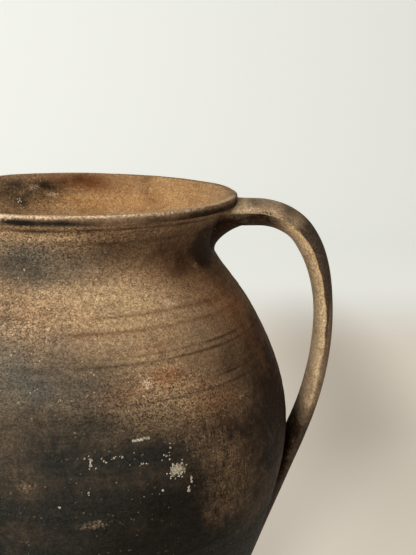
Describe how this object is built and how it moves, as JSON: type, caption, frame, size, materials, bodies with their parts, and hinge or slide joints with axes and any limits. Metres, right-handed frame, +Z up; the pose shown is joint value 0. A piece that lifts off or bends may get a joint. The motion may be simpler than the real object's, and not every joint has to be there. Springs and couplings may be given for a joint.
{
  "type": "ceramic jug",
  "caption": "Wide-mouthed unglazed earthenware jug with a rounded belly, narrow flaring neck, thick undercut lip and a tall strap handle; holds and pours liquids or cooks and stores food.",
  "frame": {"origin": "centre of the resting face, on the vessel's axis", "axes": "+Z up the vessel's axis to the mouth; +X towards the handle"},
  "size_m": [0.2981, 0.2706, 0.32],
  "materials": {
    "floor_clay": "coarse unglazed clay, sooted",
    "belly_clay": "coarse unglazed clay, smoked dark with lime marks",
    "shoulder_clay": "sandy golden tan clay with turned lines and soot",
    "lip_clay": "worn clay lip, dark below",
    "strap_clay": "hand-pulled clay strap, sooted outside",
    "luting_clay": "pressed clay",
    "smear_clay": "smeared clay, smoked"
  },
  "bodies": {
    "root": {"base_disc": "floor_clay", "lower_wall": "belly_clay", "upper_wall": "shoulder_clay", "rim_band": "lip_clay", "strap_handle": "strap_clay", "upper_luting": "luting_clay", "lower_luting": "smear_clay"}
  },
  "joints": []
}
